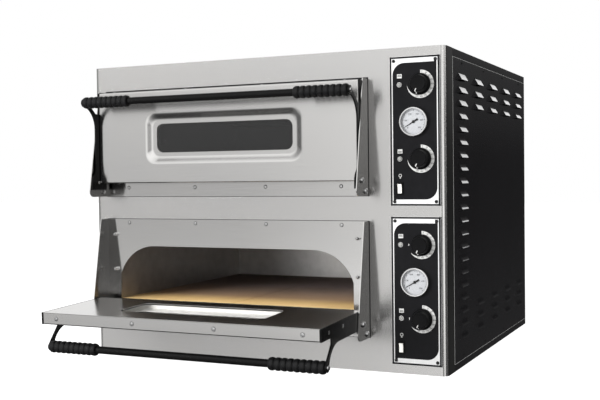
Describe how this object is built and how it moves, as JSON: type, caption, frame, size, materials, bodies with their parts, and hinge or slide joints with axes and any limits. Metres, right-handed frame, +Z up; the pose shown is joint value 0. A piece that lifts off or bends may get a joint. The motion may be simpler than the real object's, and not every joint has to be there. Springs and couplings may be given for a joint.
{
  "type": "countertop pizza oven",
  "caption": "Stacked-deck countertop pizza oven with drop-down glazed doors, bar handles, stone-floored chambers and a side control column of dials, thermometers and switches.",
  "frame": {"origin": "middle of the base pan's underside, where the oven stands", "axes": "+Z up, the doors face -Y, +X towards the control column"},
  "size_m": [0.986, 1.1625, 0.76],
  "materials": {
    "stainless_steel": "fine horizontal brush",
    "polished_steel": "bright, nearly polished",
    "white_frame": "white enamel",
    "black_enamel": "smooth gloss black",
    "chamber_steel": "heat-tinted grey brown",
    "baking_stone": "matte fired clay",
    "mineral_wool": "loose fibre",
    "element_sheath": "dull dark sheath",
    "bright_fasteners": "bright plated",
    "black_fasteners": "black oxide",
    "black_bar": "black, satin",
    "black_plastic": "moulded, satin",
    "control_print": "printed black field on a silver plate",
    "gauge_bezel": "polished",
    "gauge_face": "white printed",
    "gauge_needle": "matte black",
    "clear_glass": "clear",
    "door_glass": "grey tint",
    "white_ceramic": "glazed white",
    "rocker_white": "glossy",
    "lamp_lens": "ribbed, translucent"
  },
  "bodies": {
    "oven_body": {"front_fascia": "stainless_steel", "upper_frame_plate": "stainless_steel", "lower_frame_plate": "stainless_steel", "base_pan": "black_enamel", "left_side_panel": "black_enamel", "right_side_panel": "black_enamel", "top_cover": "black_enamel", "back_panel": "black_enamel", "upper_chamber_liner": "chamber_steel", "lower_chamber_liner": "chamber_steel", "bulkhead": "chamber_steel", "chamber_rails": "chamber_steel", "upper_baking_stones": "baking_stone", "lower_baking_stones": "baking_stone", "insulation": "mineral_wool", "upper_heating_elements": "element_sheath", "lower_heating_elements": "element_sheath", "plate_screws": "bright_fasteners", "door_stops": "bright_fasteners", "hinge_bolts": "bright_fasteners", "casing_screws": "black_fasteners", "panel_screws": "black_fasteners", "rocker_housings": "black_plastic", "cable_gland": "black_plastic", "thermostat_bodies": "black_plastic", "upper_control_plate": "control_print", "lower_control_plate": "control_print", "thermometer_cases": "gauge_bezel", "thermometer_dials": "gauge_face", "thermometer_glasses": "clear_glass", "lamp_glasses": "clear_glass", "lamp_holders": "white_ceramic", "terminal_block": "white_ceramic", "pilot_lamps": "lamp_lens"},
    "upper_door": {"upper_door_skin": "stainless_steel", "upper_door_inner_panel": "polished_steel", "upper_door_glass": "door_glass", "upper_window_frame": "white_frame", "upper_left_side_plate": "black_enamel", "upper_right_side_plate": "black_enamel", "upper_handle_bar": "black_bar", "upper_handle_grips": "black_plastic", "upper_door_screws": "bright_fasteners"},
    "lower_door": {"lower_door_skin": "stainless_steel", "lower_door_inner_panel": "polished_steel", "lower_door_glass": "door_glass", "lower_window_frame": "white_frame", "lower_left_side_plate": "black_enamel", "lower_right_side_plate": "black_enamel", "lower_handle_bar": "black_bar", "lower_handle_grips": "black_plastic", "lower_door_screws": "bright_fasteners"},
    "upper_top_knob_body": {"upper_top_knob": "black_plastic"},
    "upper_bottom_knob_body": {"upper_bottom_knob": "black_plastic"},
    "lower_top_knob_body": {"lower_top_knob": "black_plastic"},
    "lower_bottom_knob_body": {"lower_bottom_knob": "black_plastic"},
    "upper_rocker_body": {"upper_rocker": "rocker_white"},
    "lower_rocker_body": {"lower_rocker": "rocker_white"},
    "upper_needle_body": {"upper_thermometer_needle": "gauge_needle"},
    "lower_needle_body": {"lower_thermometer_needle": "gauge_needle"}
  },
  "joints": [
    {"name": "upper_door_hinge", "type": "hinge", "parent": "oven_body", "child": "upper_door", "pos_m": [-0.0755, -0.4735, 0.4535], "axis": [1, 0, 0], "range_deg": [0, 92]},
    {"name": "lower_door_hinge", "type": "hinge", "parent": "oven_body", "child": "lower_door", "pos_m": [-0.0755, -0.4735, 0.1175], "axis": [-1, 0, 0], "range_deg": [0, 92]},
    {"name": "upper_top_dial", "type": "hinge", "parent": "oven_body", "child": "upper_top_knob_body", "pos_m": [0.42845, -0.4295, 0.67375], "axis": [0, 1, 0], "range_deg": [-200, 70]},
    {"name": "upper_bottom_dial", "type": "hinge", "parent": "oven_body", "child": "upper_bottom_knob_body", "pos_m": [0.42845, -0.4295, 0.50175], "axis": [0, 1, 0], "range_deg": [-200, 70]},
    {"name": "upper_switch", "type": "hinge", "parent": "oven_body", "child": "upper_rocker_body", "pos_m": [0.37725, -0.4275, 0.43335], "axis": [-1, 0, 0], "range_deg": [0, 14]},
    {"name": "upper_needle_spin", "type": "hinge", "parent": "oven_body", "child": "upper_needle_body", "pos_m": [0.41225, -0.4295, 0.58725], "axis": [0, 1, 0], "range_deg": [-15, 255], "stiffness_Nm_per_rad": 0.005},
    {"name": "lower_top_dial", "type": "hinge", "parent": "oven_body", "child": "lower_top_knob_body", "pos_m": [0.42845, -0.4295, 0.30225], "axis": [0, 1, 0], "range_deg": [-200, 70]},
    {"name": "lower_bottom_dial", "type": "hinge", "parent": "oven_body", "child": "lower_bottom_knob_body", "pos_m": [0.42845, -0.4295, 0.13025], "axis": [0, 1, 0], "range_deg": [-200, 70]},
    {"name": "lower_switch", "type": "hinge", "parent": "oven_body", "child": "lower_rocker_body", "pos_m": [0.37725, -0.4275, 0.06185], "axis": [-1, 0, 0], "range_deg": [0, 14]},
    {"name": "lower_needle_spin", "type": "hinge", "parent": "oven_body", "child": "lower_needle_body", "pos_m": [0.41225, -0.4295, 0.21575], "axis": [0, 1, 0], "range_deg": [-15, 255], "stiffness_Nm_per_rad": 0.005}
  ]
}
